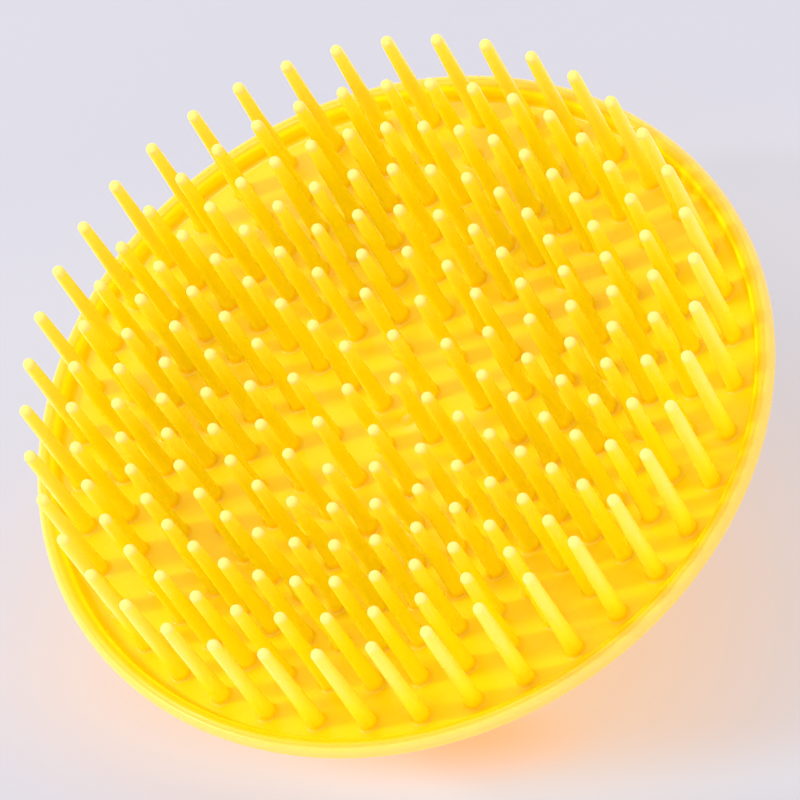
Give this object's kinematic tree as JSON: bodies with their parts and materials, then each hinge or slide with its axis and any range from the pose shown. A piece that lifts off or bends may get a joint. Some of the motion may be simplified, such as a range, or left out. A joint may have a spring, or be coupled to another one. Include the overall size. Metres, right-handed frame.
{
  "type": "scalp massager brush",
  "caption": "Round dished hand brush: rings of tapered pins with rounded tips inside a raised rim bead, a shallow back cover, and a finger handle bridging the back.",
  "frame": {"origin": "middle of the handle's flat resting face, on the brush's own axis", "axes": "+Z along the brush's axis, up through the pad to the tips of the pins; +Y along the length of the finger handle; +X across it, the way the fingers go through"},
  "size_m": [0.093, 0.093, 0.0514],
  "materials": {
    "pad": "soft translucent yellow moulding, satin gloss",
    "rigid_plastic": "rigid yellow moulding, glossy",
    "steel": "stainless steel, plain"
  },
  "bodies": {
    "root": {"pin_pad": "pad", "back_cover": "rigid_plastic", "finger_handle": "rigid_plastic", "handle_screws": "steel"}
  },
  "joints": []
}
